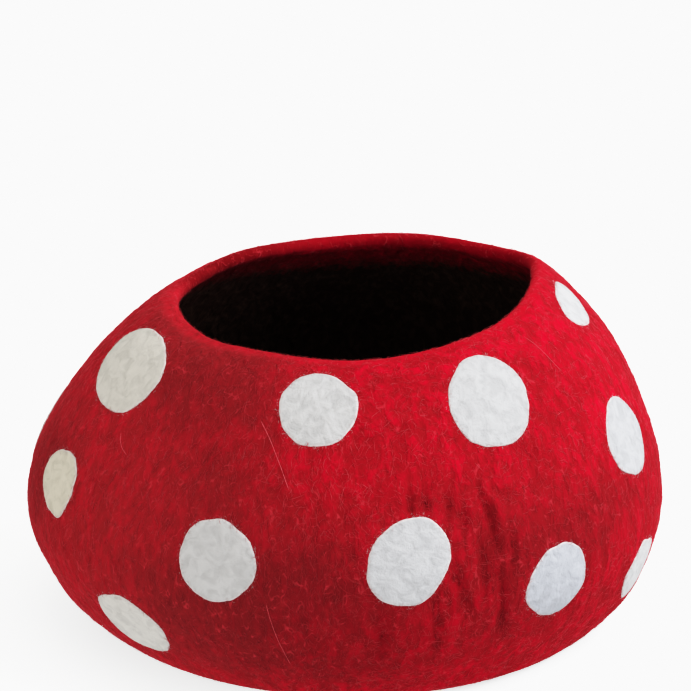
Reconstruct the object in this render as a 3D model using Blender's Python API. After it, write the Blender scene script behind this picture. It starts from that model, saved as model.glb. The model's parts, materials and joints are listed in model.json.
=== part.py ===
"""Felt cave for a pet: one hollow shell of thick felted wool, its round opening at the top,
with hand-cut felt dots scattered over the outside.

Units are metres, +Z is up and -Y is the front. The shell stands on its flattened base at Z = 0,
and the middle of the whole thing's box lies on the Z axis.
"""
import math

import bpy
import numpy as np

# ------------------------------------------------------------------ driving dimensions (metres)
HALF_WIDTH = 0.200        # half of the widest measure, across X
RIM_HEIGHT = 0.207        # mean height of the lip's crest above the surface it stands on
WALL = 0.009              # thickness of the felt, the same in the wall, the floor and the lip
DOT_THICKNESS = 0.0014    # felt dot at its middle
DOT_EDGE = 0.0009         # felt dot at its rounded edge
DOT_GAP = 0.0004          # from the shell's curve to a dot's underside

# ------------------------------------------------------------------ fineness of the meshes
AROUND = 72               # points around each ring of the shell
OUTER_RINGS = 27          # rings from the contact edge up to the lip
INNER_RINGS = 19          # rings from the lip down to the inner floor
LIP_STEPS = 5             # steps round the half-round lip
DOT_AROUND = 20           # points around a dot

# The outer profile, from the surface up. Heights are shares of RIM_HEIGHT and radii are shares of
# HALF_WIDTH: the left side is wider at the belly, and its shoulder falls away sooner.
PROFILE = [
    # (row, height, radius on the right, radius on the left)
    ("contact edge", 0.000, 0.660, 0.700),
    ("heel", 0.013, 0.770, 0.795),
    ("foot", 0.070, 0.840, 0.870),
    ("lower flank", 0.167, 0.910, 0.950),
    ("belly", 0.350, 0.970, 1.030),
    ("upper flank", 0.565, 0.935, 0.967),
    ("shoulder", 0.810, 0.825, 0.772),
    ("neck", 0.955, 0.692, 0.608),
    ("crest", 1.000, 0.607, 0.521),
]
CREST_ROW = len(PROFILE) - 1
LIP_ROW = 7.75            # where along the profile the lip begins to round over

# Swells and hollows of the hand-felted wall, as its radius is pushed out or in.
SWELL_SPREAD_DEG = 24.0
SWELL_SPREAD_ROWS = 1.1
SWELLS = [
    # (azimuth in degrees, profile row, millimetres out)
    (195, 2.4, 4), (225, 2.4, -6), (255, 2.4, -3), (285, 2.4, -4), (315, 2.4, -7), (345, 2.4, 3),
    (225, 4.2, -2), (255, 4.2, -4), (285, 4.2, -6), (315, 4.2, -4),
    (195, 5.6, 9), (225, 5.6, -8), (255, 5.6, 3), (285, 5.6, -2), (315, 5.6, -2),
    (195, 6.9, 10), (225, 6.9, 10), (255, 6.9, 2), (285, 6.9, 6),
    (60, 4.2, 3), (110, 5.6, -4), (140, 2.6, 3), (20, 5.8, 2), (80, 2.4, -4), (150, 4.6, -3),
    (0, 6.9, -4.5), (30, 6.9, 3.5), (330, 6.9, -2), (30, 5.6, -2),
]

# The mouth isn't round either: the crest is drawn in at the front and the right, which narrows it.
CREST_SWELLS = [
    # (azimuth in degrees, millimetres out)
    (0, -6.5), (30, 1.5), (90, 4), (120, 1.5), (180, 3), (210, -1), (240, -2.5), (270, -6), (330, -4),
]

# The rim isn't level: it stands higher on the right, and dips where it has been handled.
RIM_LIFT_MM = {"front": -6.0, "right": 14.0, "back": 2.0, "left": 4.0}
RIM_WAVE_SPREAD_DEG = 20.0
RIM_WAVES = [
    # (azimuth in degrees, millimetres up)
    (215, -4), (240, 1), (270, -1), (300, 3), (340, 3), (40, -3), (70, 3), (95, 2), (125, 2.5), (165, -2),
]

# The felt dots, cut by hand, so no two are alike. Turn is the long axis, from level.
DOTS = [
    # (azimuth in degrees, height mm, length mm, width mm, turn in degrees)
    (208, 181, 61, 54, 154), (261.5, 181, 47, 44, 123), (300.5, 181, 56, 51, 65),
    (204, 113, 40, 37, 136), (245.5, 98, 50, 47, 158), (279.5, 101, 53, 46, 50),
    (336, 137, 48, 46, 90), (355, 204, 52, 33, 8), (308.5, 75, 46, 42, 34),
    (224.5, 40, 52, 49, 164), (337.5, 52, 48, 44, 70),
    (25, 158, 52, 47, 120), (62, 178, 54, 48, 30), (108, 170, 49, 47, 75), (160, 168, 55, 50, 110),
    (9, 92, 50, 44, 20), (45, 104, 47, 45, 100), (80, 96, 53, 49, 145), (118, 104, 50, 43, 15),
    (148, 92, 46, 44, 60), (176, 118, 51, 46, 95), (24, 42, 49, 46, 0), (66, 36, 45, 43, 50),
    (100, 44, 52, 46, 130), (134, 38, 48, 45, 25), (180, 50, 50, 45, 80),
]
DOT_CORNERS = [(3, 0.018), (5, 0.022), (8, 0.012)]   # (corners round the edge, share of its radius)
DOT_CORNER_STEP_DEG = 97.0                          # turns each dot's corners from the last one's

# ------------------------------------------------------------------ finishes
FINISHES = {
    # name: (base colour, roughness)
    "felt_red": ((0.560, 0.006, 0.020, 1.0), 0.95),
    "felt_white": ((0.720, 0.730, 0.740, 1.0), 0.95),
}


def clear_scene():
    """Remove every object that the file opened with."""
    for thing in list(bpy.data.objects):
        bpy.data.objects.remove(thing, do_unlink=True)


def make_material(name):
    """One Principled material for a finish in FINISHES."""
    colour, roughness = FINISHES[name]
    material = bpy.data.materials.new(name)
    material.use_nodes = True
    shader = material.node_tree.nodes["Principled BSDF"]
    shader.inputs["Base Color"].default_value = colour
    shader.inputs["Roughness"].default_value = roughness
    shader.inputs["Metallic"].default_value = 0.0
    material.diffuse_color = colour
    return material


def smooth_rows(rows, along):
    """Values read from table rows at fractional row numbers, on a Catmull-Rom curve."""
    rows = np.asarray(rows, dtype=float)
    last = len(rows) - 1
    before_first = 2.0 * rows[0] - rows[1]
    after_last = 2.0 * rows[last] - rows[last - 1]
    padded = np.vstack([before_first, rows, after_last])
    start = np.clip(np.floor(along).astype(int), 0, last - 1)
    t = (along - start)[..., None]
    a, b, c, d = (padded[start + step] for step in range(4))
    cubic = 3.0 * b - a - 3.0 * c + d
    square = 2.0 * a - 5.0 * b + 4.0 * c - d
    return 0.5 * (2.0 * b + (c - a) * t + square * t ** 2 + cubic * t ** 3)


def bell(angle_deg, centre_deg, spread_deg):
    """A smooth bump round the shell: 1 at its centre, fading over the spread."""
    off = (angle_deg - centre_deg + 180.0) % 360.0 - 180.0
    return np.exp(-(off / spread_deg) ** 2)


def rim_lift(azimuth):
    """How far the crest stands above RIM_HEIGHT at each azimuth."""
    front, right, back, left = (RIM_LIFT_MM[side] for side in ("front", "right", "back", "left"))
    lift = (front + right + back + left) / 4.0
    lift = lift + (right - left) / 2.0 * np.cos(azimuth)
    lift = lift + (back - front) / 2.0 * np.sin(azimuth)
    lift = lift + ((right + left) - (back + front)) / 4.0 * np.cos(2.0 * azimuth)
    for centre, up in RIM_WAVES:
        lift = lift + up * bell(np.degrees(azimuth), centre, RIM_WAVE_SPREAD_DEG)
    return lift / 1000.0


def outer_surface(row, azimuth):
    """Points of the shell's outside at fractional profile rows and azimuths in radians."""
    row, azimuth = np.broadcast_arrays(np.asarray(row, dtype=float), azimuth)
    values = smooth_rows([entry[1:] for entry in PROFILE], row)
    height = values[..., 0] * RIM_HEIGHT
    right = values[..., 1] * HALF_WIDTH
    left = values[..., 2] * HALF_WIDTH
    radius = (right + left) / 2.0 + (right - left) / 2.0 * np.cos(azimuth)
    crest_swells = [(centre, CREST_ROW, out) for centre, out in CREST_SWELLS]
    for centre, centre_row, out in SWELLS + crest_swells:
        fade = np.exp(-((row - centre_row) / SWELL_SPREAD_ROWS) ** 2)
        radius = radius + out / 1000.0 * fade * bell(np.degrees(azimuth), centre, SWELL_SPREAD_DEG)
    height = height + rim_lift(azimuth) * (row / CREST_ROW) ** 4
    return np.stack([radius * np.cos(azimuth), radius * np.sin(azimuth), height], axis=-1)


def slopes(row, azimuth):
    """Tangents round and up the outer surface, as change for each radian and for each row."""
    step = 1e-4
    around = outer_surface(row, azimuth + step) - outer_surface(row, azimuth - step)
    upward = outer_surface(row + step, azimuth) - outer_surface(row - step, azimuth)
    return around / (2.0 * step), upward / (2.0 * step)


def unit(vectors):
    """The same directions at length 1."""
    return vectors / np.linalg.norm(vectors, axis=-1, keepdims=True)


def outward(row, azimuth):
    """Unit normals of the outer surface."""
    around, upward = slopes(row, azimuth)
    return unit(np.cross(around, upward))


def shell_rings():
    """Rings of the shell: up the outside, over the half-round lip and down the inside."""
    azimuth = np.linspace(0.0, 2.0 * math.pi, AROUND, endpoint=False)
    outer_rows = np.linspace(0.0, LIP_ROW, OUTER_RINGS)
    inner_rows = np.linspace(LIP_ROW, 0.0, INNER_RINGS)
    rings = [outer_surface(row, azimuth) for row in outer_rows]
    top = outer_surface(LIP_ROW, azimuth)
    normal = outward(LIP_ROW, azimuth)
    onward = unit(slopes(LIP_ROW, azimuth)[1])
    centre = top - normal * WALL / 2.0
    for step in range(1, LIP_STEPS):
        turn = math.pi * step / LIP_STEPS
        rings.append(centre + (normal * math.cos(turn) + onward * math.sin(turn)) * WALL / 2.0)
    for row in inner_rows:
        rings.append(outer_surface(row, azimuth) - outward(row, azimuth) * WALL)
    return rings


def closed_mesh(name, rings, first_pole, last_pole):
    """A closed mesh skinned over rings of points, with a point at each end."""
    count = len(rings[0])
    points = np.vstack([*rings, [first_pole, last_pole]])
    start_pole, end_pole = len(points) - 2, len(points) - 1
    faces = []
    for ring in range(len(rings) - 1):
        low, high = ring * count, (ring + 1) * count
        for here in range(count):
            after = (here + 1) % count
            faces.append((low + here, low + after, high + after, high + here))
    top = (len(rings) - 1) * count
    for here in range(count):
        after = (here + 1) % count
        faces.append((start_pole, after, here))
        faces.append((end_pole, top + here, top + after))
    mesh = bpy.data.meshes.new(name)
    mesh.from_pydata(points.tolist(), [], faces)
    mesh.shade_smooth()
    mesh.update()
    return mesh


def row_at_height(height, azimuth):
    """The profile row whose height, at one azimuth, is the one asked for."""
    low, high = 0.0, float(LIP_ROW)
    for _ in range(40):
        middle = (low + high) / 2.0
        if outer_surface(middle, azimuth)[2] < height:
            low = middle
        else:
            high = middle
    return (low + high) / 2.0


def lay_on_shell(row, azimuth, across, up):
    """Rows and azimuths of the points that lie across and up from a centre on the shell."""
    centre = outer_surface(row, azimuth)
    level = unit(slopes(row, azimuth)[0])
    upright = np.cross(outward(row, azimuth), level)
    rows = np.full(across.shape, row)
    azimuths = np.full(across.shape, azimuth)
    for _ in range(8):
        around, upward = slopes(rows, azimuths)
        off = outer_surface(rows, azimuths) - centre
        miss = np.stack([across - off @ level, up - off @ upright], axis=-1)
        matrix = np.stack([np.stack([around @ level, upward @ level], axis=-1),
                           np.stack([around @ upright, upward @ upright], axis=-1)], axis=-2)
        change = np.linalg.solve(matrix, miss[..., None])[..., 0]
        azimuths = azimuths + change[..., 0]
        rows = rows + change[..., 1]
    return rows, azimuths


def dot_edge(turns, length, width, lean, corner_start):
    """Across and up distances round a dot's slightly cornered edge."""
    radius = np.ones_like(turns)
    for corners, share in DOT_CORNERS:
        radius = radius + share * np.cos(corners * turns + corner_start * corners)
    along = radius * length / 2.0 * np.cos(turns)
    aside = radius * width / 2.0 * np.sin(turns)
    across = along * math.cos(lean) - aside * math.sin(lean)
    up = along * math.sin(lean) + aside * math.cos(lean)
    return across, up


def dot_rings(entry, number):
    """A dot's rings, from its underside's middle round its edge to its top's, and both poles."""
    azimuth_deg, height, length, width, turn = entry
    azimuth = math.radians(azimuth_deg)
    row = row_at_height(height / 1000.0, azimuth)
    turns = np.linspace(0.0, 2.0 * math.pi, DOT_AROUND, endpoint=False)
    across, up = dot_edge(turns, length / 1000.0, width / 1000.0, math.radians(turn),
                          math.radians(DOT_CORNER_STEP_DEG * number))

    def ring(share, lift):
        rows, azimuths = lay_on_shell(row, azimuth, across * share, up * share)
        return outer_surface(rows, azimuths) + outward(rows, azimuths) * lift

    top = DOT_GAP + DOT_THICKNESS
    rings = [ring(0.5, DOT_GAP), ring(0.97, DOT_GAP), ring(1.0, DOT_GAP + DOT_EDGE / 2.0),
             ring(0.93, DOT_GAP + DOT_EDGE), ring(0.5, top)]
    middle = outer_surface(row, azimuth)
    normal = outward(row, azimuth)
    return rings, middle + normal * DOT_GAP, middle + normal * top


def place(name, rings, poles, origin, material, holder):
    """Make an object whose own origin is at a point of the part, held by the empty."""
    local = [ring - origin for ring in rings]
    mesh = closed_mesh(name, local, poles[0] - origin, poles[1] - origin)
    mesh.materials.append(material)
    thing = bpy.data.objects.new(name, mesh)
    bpy.context.collection.objects.link(thing)
    thing.location = origin
    thing.parent = holder
    return thing


def build():
    """Make the shell and its dots, with the whole box's middle on the Z axis."""
    clear_scene()
    red = make_material("felt_red")
    white = make_material("felt_white")

    shell = shell_rings()
    dots = [dot_rings(entry, number) for number, entry in enumerate(DOTS)]
    everything = np.vstack(shell + [ring for rings, _, _ in dots for ring in rings])
    middle = (everything.min(axis=0) + everything.max(axis=0)) / 2.0
    holder = bpy.data.objects.new("felt_cave", None)
    bpy.context.collection.objects.link(holder)
    holder.location = (-middle[0], -middle[1], 0.0)

    base_middle = np.zeros(3)
    floor_middle = np.array([0.0, 0.0, WALL])
    place("felt_shell", shell, (base_middle, floor_middle), base_middle, red, holder)
    for number, (rings, underside, top) in enumerate(dots, start=1):
        place(f"dot_{number:02d}", rings, (underside, top), underside, white, holder)


build()
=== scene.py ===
"""Felt cave for a pet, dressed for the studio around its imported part.

The felt wall, its felt dots and the loose wool on them are modelled in metres, in the part's own
frame: +Z is up and -Y is the front. Azimuths are degrees round the middle of the hollow, with 0 on
the right and 270 at the front.
"""

import json
import logging
import math
from dataclasses import dataclass, field
from enum import Enum
from functools import reduce

import bpy
import numpy as np
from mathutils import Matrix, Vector, geometry, noise
from mathutils.bvhtree import BVHTree


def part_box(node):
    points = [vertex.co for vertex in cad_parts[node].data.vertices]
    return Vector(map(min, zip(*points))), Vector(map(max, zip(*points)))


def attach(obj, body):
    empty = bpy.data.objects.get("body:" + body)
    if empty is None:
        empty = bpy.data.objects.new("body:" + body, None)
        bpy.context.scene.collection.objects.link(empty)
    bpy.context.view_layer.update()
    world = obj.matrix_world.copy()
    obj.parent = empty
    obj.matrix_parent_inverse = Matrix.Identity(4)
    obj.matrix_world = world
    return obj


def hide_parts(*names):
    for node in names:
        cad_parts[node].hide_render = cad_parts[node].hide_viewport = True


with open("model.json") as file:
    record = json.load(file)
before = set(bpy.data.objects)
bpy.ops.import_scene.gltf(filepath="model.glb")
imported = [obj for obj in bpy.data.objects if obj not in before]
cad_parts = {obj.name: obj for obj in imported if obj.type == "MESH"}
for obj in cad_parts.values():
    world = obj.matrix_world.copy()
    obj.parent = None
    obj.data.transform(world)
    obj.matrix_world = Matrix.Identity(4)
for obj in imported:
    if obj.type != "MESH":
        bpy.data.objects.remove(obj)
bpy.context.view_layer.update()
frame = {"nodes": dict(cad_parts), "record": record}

MM = 0.001
TURN = 2.0 * math.pi
BODY = "root"
LOG = logging.getLogger("felt_cave")
Array = np.ndarray
Triple = tuple[float, float, float]
Colour = tuple[float, float, float, float]
Socket = bpy.types.NodeSocket
Layer = tuple[Socket, Colour]
WHITE: Colour = (1.0, 1.0, 1.0, 1.0)


# ------------------------------------------------------------------ small tools
def unit(vectors: Array) -> Array:
    """The same directions at length 1."""
    return vectors / np.maximum(np.linalg.norm(vectors, axis=-1, keepdims=True), 1e-12)


def upright_frame(out: Array) -> tuple[Array, Array]:
    """The directions round the wall and up it, where its outward directions are given."""
    level = unit(np.cross((0.0, 0.0, 1.0), out))
    return level, np.cross(out, level)


def fade(values: Array, start: float, end: float) -> Array:
    """0 up to start and 1 from end on, easing in and out between them."""
    share = np.clip((values - start) / (end - start), 0.0, 1.0)
    return share * share * (3.0 - 2.0 * share)


def waves(points: Array, pitch: float, seed: float, tall: float = 1.0) -> Array:
    """Smooth noise between about -1 and 1.

    Args:
        points: Where to read it, as rows of X, Y and Z.
        pitch: Distance between its swells, in metres.
        seed: Offset that gives each use its own pattern.
        tall: How many times longer the swells are up the wall than round it.

    Returns:
        One value for each point.
    """
    scaled = points / pitch
    scaled[:, 2] /= tall
    scaled += (seed, seed * 1.7, seed * 2.3)
    return np.array([noise.noise(Vector(point)) for point in scaled.tolist()])


@dataclass(frozen=True)
class Swell:
    """Unevenness of one height and one pitch, in metres, with a seed for its own pattern."""

    height: float
    pitch: float
    seed: float
    tall: float = 1.0

    def at(self, points: Array) -> Array:
        """How far the felt stands out at each point, less than nought in a dip."""
        return self.height * waves(points, self.pitch, self.seed, self.tall)


def tree_of(*pieces: bpy.types.Object) -> BVHTree:
    """Make a search tree over the faces of one or more pieces.

    Args:
        pieces: The pieces, whose places are in their meshes.

    Returns:
        One tree over all their faces.
    """
    points, faces = [], []
    for piece in pieces:
        start = len(points)
        points += [vertex.co for vertex in piece.data.vertices]
        faces += [[start + corner for corner in face.vertices] for face in piece.data.polygons]
    return BVHTree.FromPolygons(points, faces)


def nearest(tree: BVHTree, points: Array) -> tuple[Array, Array]:
    """The places of a tree's faces nearest to points, and the outward directions there."""
    found = [tree.find_nearest(point)[:2] for point in points.tolist()]
    return np.array([place for place, _ in found]), np.array([out for _, out in found])


def round_wall(azimuth: Array, start: float | Array, radius: Array) -> Array:
    """How far azimuths in degrees lie past a start, in metres round the wall at a radius."""
    return np.radians((azimuth - start + 180.0) % 360.0 - 180.0) * radius


def close_rings(rings: Array, poles: list[Array]) -> tuple[Array, list]:
    """Skin rings of points into one closed mesh.

    Args:
        rings: The points, as rings by places round them by coordinates.
        poles: The middle of the first ring and the middle of the last.

    Returns:
        The mesh's points and its faces.
    """
    count, around = rings.shape[:2]
    numbers = np.arange(count * around).reshape(count, around)
    after = np.roll(numbers, -1, axis=1)
    quads = np.stack([numbers[:-1], after[:-1], after[1:], numbers[1:]], axis=-1).reshape(-1, 4)
    first, last = count * around, count * around + 1
    ends = [(first, int(b), int(a)) for a, b in zip(numbers[0], after[0])]
    ends += [(last, int(a), int(b)) for a, b in zip(numbers[-1], after[-1])]
    return np.vstack([rings.reshape(-1, 3), poles]), quads.tolist() + ends


class Slot(Enum):
    """The record's material slots."""

    RED = "felt_red"
    WHITE = "felt_white"
    DARK = "felt_dark"


def make_piece(name: str, points: Array, faces: list, material: bpy.types.Material,
               smooth: bool = True) -> bpy.types.Object:
    """Make a piece of the part from its points and faces.

    Args:
        name: The piece's name.
        points: Its corners, as rows of X, Y and Z.
        faces: Its faces, as rows of point numbers.
        material: The finish that it wears.
        smooth: Whether its faces are shaded smooth.

    Returns:
        The new object, which rides on the part's body.
    """
    mesh = bpy.data.meshes.new(name)
    mesh.from_pydata(points.tolist(), [], faces)
    if smooth:
        mesh.shade_smooth()
    mesh.materials.append(material)
    mesh.update()
    piece = bpy.data.objects.new(name, mesh)
    bpy.context.scene.collection.objects.link(piece)
    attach(piece, BODY)
    return piece


def write_attribute(mesh: bpy.types.Mesh, name: str, values: Array) -> None:
    """Store one number for each point of a mesh, for its material to read."""
    layer = mesh.attributes.new(name, "FLOAT", "POINT")
    layer.data.foreach_set("value", np.ascontiguousarray(values, dtype=np.float32).ravel())


def read_values(items: bpy.types.bpy_prop_collection, key: str, width: int = 1) -> Array:
    """Read what a mesh's points or faces hold.

    Args:
        items: The points or the faces.
        key: The name of the value.
        width: How many numbers each of them holds.

    Returns:
        One row for each point or face, or one number where the width is 1.
    """
    values = np.empty(len(items) * width)
    items.foreach_get(key, values)
    return values if width == 1 else values.reshape(-1, width)


# ------------------------------------------------------------------ finishes
class NodeTree:
    """The nodes of a material or of the room, with short calls that add and join them."""

    def __init__(self, tree: bpy.types.NodeTree) -> None:
        """Take up the tree that the nodes are added to."""
        self.tree = tree

    def fill(self, node: bpy.types.Node, inputs: dict[int | str, object]) -> bpy.types.Node:
        """Fill inputs of a node.

        Args:
            node: The node.
            inputs: Numbers or names of its inputs, each with another node's output to join it
                to, or with its own number or colour.

        Returns:
            The node.
        """
        for key, value in inputs.items():
            if isinstance(value, Socket):
                self.tree.links.new(value, node.inputs[key])
            else:
                node.inputs[key].default_value = value
        return node

    def add(self, kind: str, inputs: dict[int | str, object], **settings: object) -> bpy.types.Node:
        """Add a node.

        Args:
            kind: The node's type.
            inputs: What its inputs are filled with.
            settings: Its properties, by their names.

        Returns:
            The new node.
        """
        node = self.tree.nodes.new(kind)
        for key, value in settings.items():
            setattr(node, key, value)
        return self.fill(node, inputs)

    def part(self, vector: Socket, axis: str) -> Socket:
        """One coordinate of a vector."""
        return self.add("ShaderNodeSeparateXYZ", {0: vector}).outputs[axis]

    def math(self, operation: str, first: object, second: object = 0.0) -> Socket:
        """The result of one Math node."""
        return self.add("ShaderNodeMath", {0: first, 1: second}, operation=operation).outputs[0]

    def times(self, *factors: object) -> Socket:
        """The product of two or more numbers."""
        return reduce(lambda product, factor: self.math("MULTIPLY", product, factor), factors)

    def ease(self, value: Socket, start: float, end: float, low: float = 0.0,
             high: float = 1.0) -> Socket:
        """A level that eases from low to high while a value grows from start to end."""
        levels = dict(enumerate((value, start, end, low, high)))
        return self.add("ShaderNodeMapRange", levels, interpolation_type="SMOOTHSTEP").outputs[0]


class NodeSheet(NodeTree):
    """A material's nodes, with the patterns that wool is drawn from."""

    def __init__(self, name: str) -> None:
        """Start a material with its Principled shader.

        Args:
            name: The name it gets.
        """
        self.material = bpy.data.materials.new(name)
        self.material.use_nodes = True
        super().__init__(self.material.node_tree)
        self.shader = self.tree.nodes["Principled BSDF"]
        self.place = self.add("ShaderNodeTexCoord", {}).outputs["Object"]

    def attribute(self, name: str) -> Socket:
        """The value that each point of the mesh holds under a name."""
        return self.add("ShaderNodeAttribute", {}, attribute_name=name).outputs["Fac"]

    def across(self, axis: str) -> Socket:
        """The place along one axis, in metres from the middle."""
        return self.part(self.place, axis)

    def stretched(self, upright: float, shift: Triple = (0.0, 0.0, 0.0)) -> Socket:
        """Coordinates for a pattern that is drawn out up the wall, and shifted."""
        inputs = {"Vector": self.place, "Scale": (1.0, 1.0, upright), "Location": shift}
        return self.add("ShaderNodeMapping", inputs).outputs["Vector"]

    def noise(self, where: Socket, pitch: float, detail: float = 3.0, rough: float = 0.55,
              twist: float = 0.0) -> Socket:
        """Noise whose swells are a pitch apart, in metres, with finer noise laid over it."""
        inputs = {"Vector": where, "Scale": 1.0 / pitch, "Detail": detail, "Roughness": rough,
                  "Distortion": twist}
        return self.add("ShaderNodeTexNoise", inputs).outputs["Fac"]

    def curl(self, where: Socket, pitch: float, width: float) -> Socket:
        """Thin curling lines, like single wool fibres lying on the felt.

        Args:
            where: The coordinates to draw them in.
            pitch: Distance between the lines' swings, in metres.
            width: Width of a line, as a share of the noise's whole range.

        Returns:
            1 on a line, falling to 0 beside it.
        """
        swing = self.noise(where, pitch, detail=1.5, rough=0.45, twist=0.5)
        off = self.math("ABSOLUTE", self.math("SUBTRACT", swing, 0.5))
        return self.ease(off, 0.0, width, 1.0, 0.0)

    def blend(self, share: object, first: object, second: object, way: str = "MIX") -> Socket:
        """A first colour with a share of a second one laid over it."""
        inputs = {0: share, 6: first, 7: second}
        return self.add("ShaderNodeMix", inputs, data_type="RGBA", blend_type=way).outputs[2]

    def grey(self, value: Socket) -> Socket:
        """A grey of a given strength."""
        return self.add("ShaderNodeCombineColor", {0: value, 1: value, 2: value}).outputs["Color"]

    def raise_grain(self, heights: list[tuple[object, float]]) -> None:
        """Stack bumps on the shader's normal.

        Args:
            heights: Each pattern with its full height in metres, the broadest first.
        """
        below = {}
        for pattern, height in heights:
            node = self.add("ShaderNodeBump", {"Distance": height, "Height": pattern, **below})
            below = {"Normal": node.outputs["Normal"]}
        self.fill(self.shader, below)

    def set_cloth(self, colour: Socket, roughness: float, sheen: float, tint: Colour,
                  specular: float = 0.12) -> bpy.types.Material:
        """Give the shader its colour and the even, soft reflection of wool.

        Args:
            colour: The wool's colour.
            roughness: How matt it is.
            sheen: How much light its fuzz catches at a slant.
            tint: The fuzz's colour.
            specular: How much it shines.

        Returns:
            The finished material.
        """
        self.fill(self.shader, {
            "Base Color": colour, "Roughness": roughness, "Specular IOR Level": specular,
            "Sheen Weight": sheen, "Sheen Roughness": 0.45, "Sheen Tint": tint})
        return self.material


@dataclass(frozen=True)
class RedWool:
    """Bright red felted wool outside, over the lip and down to the dark wool inside."""

    deep: Colour = (0.300, 0.013, 0.022, 1.0)
    bright: Colour = (0.630, 0.006, 0.038, 1.0)
    # The smooth, even red of the lip: partly the smoother felt of the rolled edge and partly
    # painted highlight, as the round lip catches the light.
    lip: Colour = (0.640, 0.006, 0.034, 1.0)
    # The red of the brighter and of the deeper patches: partly the wool's own tone and partly
    # painted light and shade.
    vivid_and_lit: Colour = (0.780, 0.003, 0.043, 1.0)
    deepest_and_shaded: Colour = (0.180, 0.017, 0.022, 1.0)
    # Duller, greyer red toward the left side: partly the wool's own tone and partly painted shade,
    # as less light falls on that side.
    dull_and_shade: Colour = (0.400, 0.062, 0.066, 1.0)
    haze: Colour = (0.560, 0.045, 0.060, 1.0)
    pale: Colour = (0.720, 0.080, 0.110, 1.0)
    # The dark red of painted shade on the lip and in the creases.
    shade: Colour = (0.140, 0.005, 0.008, 1.0)
    inside: Colour = (0.036, 0.021, 0.016, 1.0)
    inside_light: Colour = (0.095, 0.052, 0.040, 1.0)
    margin: float = 18 * MM           # where the red begins to thin out inside
    margin_end: float = 38 * MM       # where it is all dark

    def material(self) -> bpy.types.Material:
        """Make the finish of the felt shell.

        Returns:
            The material, which reads past_lip, vividness and furrow from the mesh.
        """
        sheet = NodeSheet("red_wool")
        mottle = sheet.noise(sheet.stretched(0.38), 5 * MM, detail=4.0, rough=0.6, twist=0.4)
        clumps = sheet.noise(sheet.stretched(0.45, (0.7, 2.3, 1.1)), 11 * MM, rough=0.5, twist=0.8)
        grain = sheet.noise(sheet.place, 1.1 * MM, detail=2.5, rough=0.7)
        lines = self.lying_fibres(sheet)
        past = sheet.attribute("past_lip")
        # The lip's share of smooth red, partly painted highlight where the round lip catches the
        # light.
        on_lip = sheet.ease(sheet.math("ABSOLUTE", past), 4 * MM, 12 * MM, 1.0, 0.0)

        colour = self.bright
        for share, tint in [*self.wool_layers(sheet, mottle, clumps),
                            (sheet.times(on_lip, 0.70), self.lip),
                            *self.shade_layers(sheet, past),
                            *self.surface_layers(sheet, lines)]:
            colour = sheet.blend(share, colour, tint)
        colour = sheet.blend(self.dark_share(sheet, past), colour, self.dark_wool(sheet, mottle))

        calm = sheet.math("SUBTRACT", 1.0, sheet.times(on_lip, 0.6))
        tufts = [(sheet.times(clumps, calm), 3.0 * MM), (sheet.times(mottle, calm), 1.1 * MM)]
        sheet.raise_grain([*tufts, (grain, 0.3 * MM), (lines, 0.25 * MM)])
        return sheet.set_cloth(colour, 0.95, 0.03, (1.0, 0.25, 0.28, 1.0), specular=0.05)

    def lying_fibres(self, sheet: NodeSheet) -> Socket:
        """Draw the broken, curling lines of single fibres.

        Args:
            sheet: The material's nodes.

        Returns:
            1 on a line, falling to 0 beside it.
        """
        fine_curl = sheet.curl(sheet.stretched(0.55), 7 * MM, 0.024)
        wide_curl = sheet.curl(sheet.stretched(0.8, (3.1, 1.7, 0.4)), 12 * MM, 0.014)
        broken = sheet.ease(sheet.noise(sheet.place, 5 * MM, detail=2.0), 0.42, 0.62)
        return sheet.times(sheet.math("MAXIMUM", fine_curl, wide_curl), broken)

    def wool_layers(self, sheet: NodeSheet, mottle: Socket,
                    clumps: Socket) -> list[Layer]:
        """Mix the deep and the bright wool that were felted together, with patches of deeper and
        brighter red that are partly painted light and shade.

        Args:
            sheet: The material's nodes.
            mottle: Noise of the size of small tufts.
            clumps: Noise of the size of whole clumps.

        Returns:
            The shares and colours to lay over the bright red, in order.
        """
        combed = sheet.noise(sheet.stretched(0.13), 3.5 * MM, rough=0.6)
        blotch = sheet.noise(sheet.place, 55 * MM, detail=2.0)
        tone_and_light = sheet.attribute("tone_and_light")
        fullness = sheet.ease(tone_and_light, 0.0, 0.8, 1.0, 0.55)
        return [
            # The patches, partly the wool's tone and partly painted light and shade: brighter over
            # nought, deeper under it.
            (sheet.ease(tone_and_light, 0.0, 1.0, 0.0, 0.85), self.vivid_and_lit),
            (sheet.times(sheet.ease(mottle, 0.30, 0.62, 0.85, 0.0), fullness), self.deep),
            (sheet.times(sheet.ease(combed, 0.42, 0.66, 0.0, 0.35), fullness), self.deep),
            # Deeper red in the clumps' dips, raised by the bumps from the same noise: partly the
            # wool's own tone and partly painted shade in the dips.
            (sheet.ease(clumps, 0.40, 0.58, 0.62, 0.0), self.deep),
            (sheet.ease(blotch, 0.35, 0.70, 0.0, 0.25), self.deep),
            (sheet.ease(tone_and_light, -1.0, 0.0, 0.80, 0.0), self.deepest_and_shaded),
        ]

    def shade_layers(self, sheet: NodeSheet, past: Socket) -> list[Layer]:
        """Paint shade: dull the left side, and darken the lip's crest at the back, its left end and
        its turn to the inside.

        Args:
            sheet: The material's nodes.
            past: The distance past the lip's tip.

        Returns:
            The shares and colours to lay over the wool, in order.
        """
        across, along = sheet.across("X"), sheet.across("Y")
        back = sheet.ease(along, -0.01, 0.05)
        # Painted shade on the lip's crest at the back, where it turns inward.
        crest = sheet.times(sheet.ease(past, -5 * MM, -1 * MM, 0.0, 0.58),
                            sheet.ease(past, 2 * MM, 8 * MM, 1.0, 0.0), back)
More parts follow.
